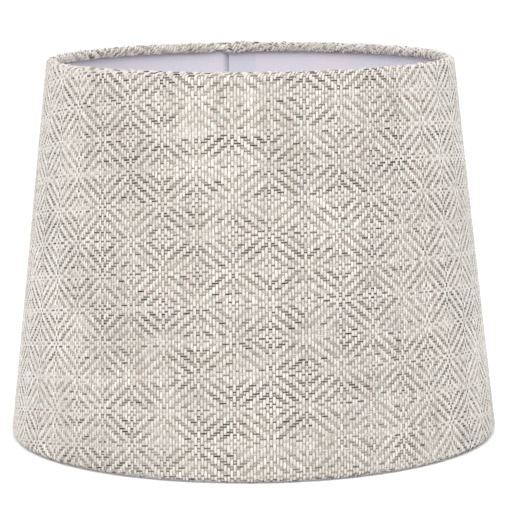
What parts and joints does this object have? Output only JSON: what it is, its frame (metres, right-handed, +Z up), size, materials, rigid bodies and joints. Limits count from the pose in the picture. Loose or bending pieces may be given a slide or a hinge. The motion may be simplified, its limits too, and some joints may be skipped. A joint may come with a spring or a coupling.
{
  "type": "lamp shade",
  "caption": "Tapered drum lamp shade of woven cloth on a white backing sheet, with rolled edges on wire hoops and a fitter ring held low inside by arms.",
  "frame": {"origin": "on the shade's axis, at the level of its bottom rim", "axes": "+Z up along the shade's axis, -Y towards the front, +Y towards the seam at the back"},
  "size_m": [0.3, 0.3024, 0.231],
  "materials": {
    "cover_cloth": "coarse woven diamond twill, cream warps and beige-brown wefts",
    "backing_sheet": "satin white laminating sheet",
    "seam_tape": "clear double-sided tape",
    "coated_wire": "white powder coat on steel",
    "reducer_plastic": "moulded white plastic"
  },
  "bodies": {
    "shade": {"cover_fabric": "cover_cloth", "backing_sheet": "backing_sheet", "seam_tape": "seam_tape", "top_ring": "coated_wire", "bottom_ring": "coated_wire", "spider_arm_1": "coated_wire", "spider_arm_2": "coated_wire", "spider_arm_3": "coated_wire", "lampholder_ring": "coated_wire"},
    "reducer": {"reducer_ring": "reducer_plastic"}
  },
  "joints": [
    {"name": "reducer_lift", "type": "slide", "parent": "shade", "child": "reducer", "axis": [0, 0, 1], "range_m": [0, 0.21]}
  ]
}
